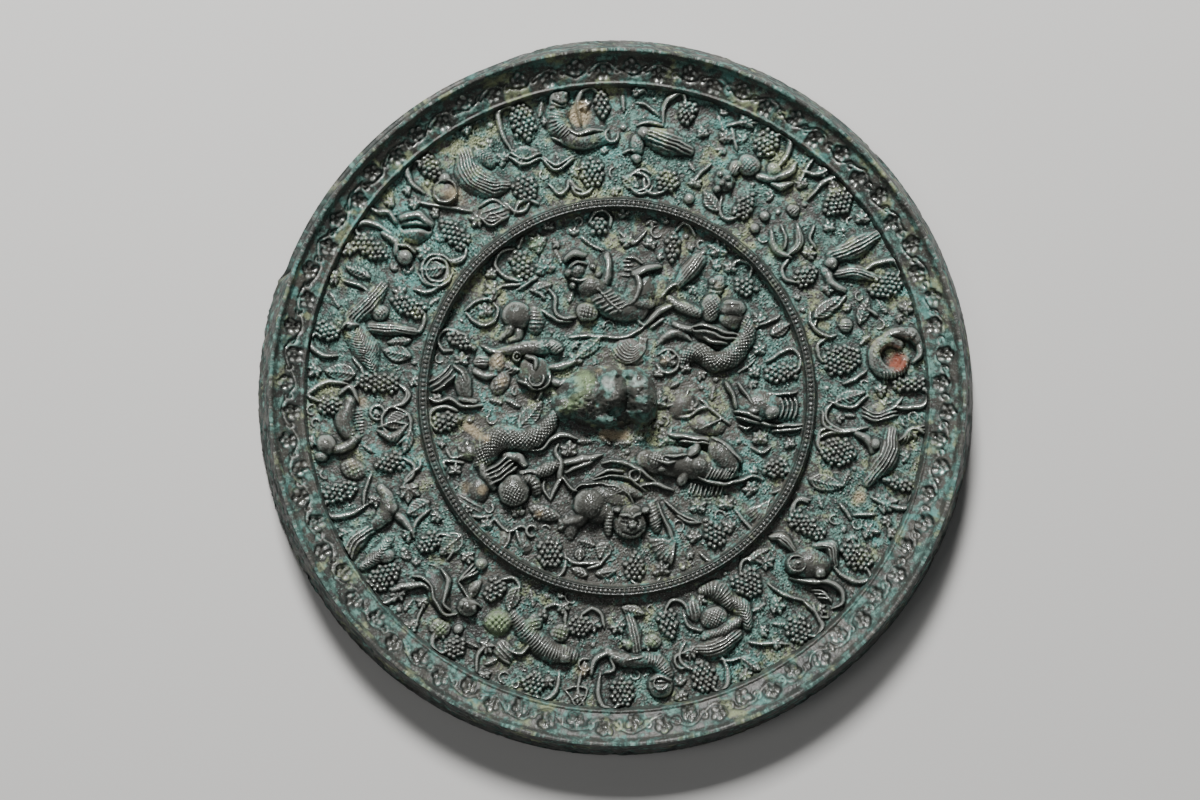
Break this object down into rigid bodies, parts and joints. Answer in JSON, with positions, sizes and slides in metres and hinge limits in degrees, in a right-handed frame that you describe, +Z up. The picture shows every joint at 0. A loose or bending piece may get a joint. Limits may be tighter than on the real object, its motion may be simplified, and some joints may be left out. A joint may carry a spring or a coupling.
{
  "type": "bronze mirror",
  "caption": "Round cast bronze mirror with a raised rim, a pearled ring, beasts and grapevine in high relief, and a pierced knob on the back.",
  "frame": {"origin": "under the centre of the round reflecting face, at the height that the face rests on", "axes": "+Z up out of the carved back, +X to the right and +Y to the top of the back as it is seen from above"},
  "size_m": [0.24, 0.24, 0.018],
  "materials": {
    "bronze": "aged bronze with blue-green patina, satin on the worn high points"
  },
  "bodies": {
    "root": {"mirror": "bronze"}
  },
  "joints": []
}
